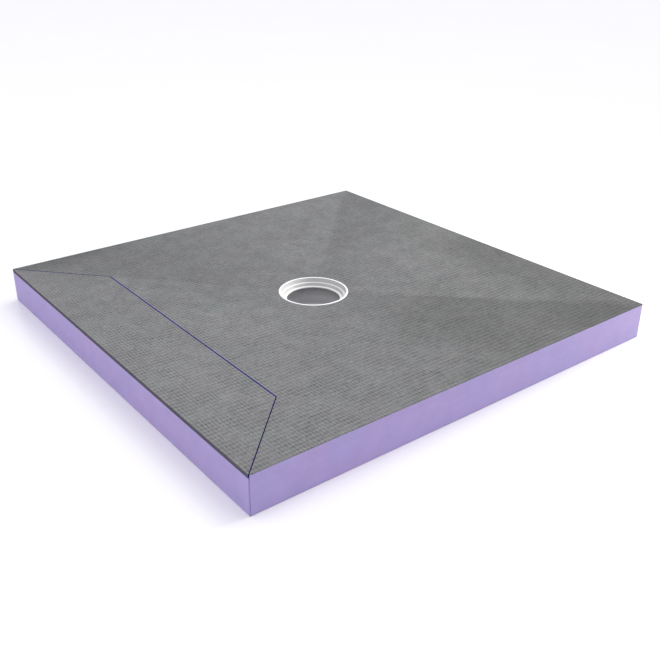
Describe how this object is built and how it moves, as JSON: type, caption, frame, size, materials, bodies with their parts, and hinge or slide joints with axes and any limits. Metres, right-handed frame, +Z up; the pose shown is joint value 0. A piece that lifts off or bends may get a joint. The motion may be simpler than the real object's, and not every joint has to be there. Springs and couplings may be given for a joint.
{
  "type": "tileable shower tray",
  "caption": "Square tileable foam shower tray with a mortar-coated four-way fall to a round point drain, and a trapezoid access panel along one side.",
  "frame": {"origin": "middle of the tray's underside, which lies on the floor", "axes": "+Z up; +X away from the access panel's side, +Y along that side"},
  "size_m": [0.9, 0.9, 0.07],
  "materials": {
    "foam": "lilac extruded foam, smooth sawn sides with a fine grain",
    "mortar_coat": "grey mortar over a woven mesh, matt, with rows of small pits",
    "panel": "grey mortar over a woven mesh on a dark thin board, matt",
    "ring": "white moulded plastic, satin gloss",
    "sleeve": "mid-grey moulded plastic, satin"
  },
  "bodies": {
    "root": {"foam_core": "foam", "top_coating": "mortar_coat", "access_panel": "panel", "drain_ring": "ring", "drain_sleeve": "sleeve"}
  },
  "joints": []
}
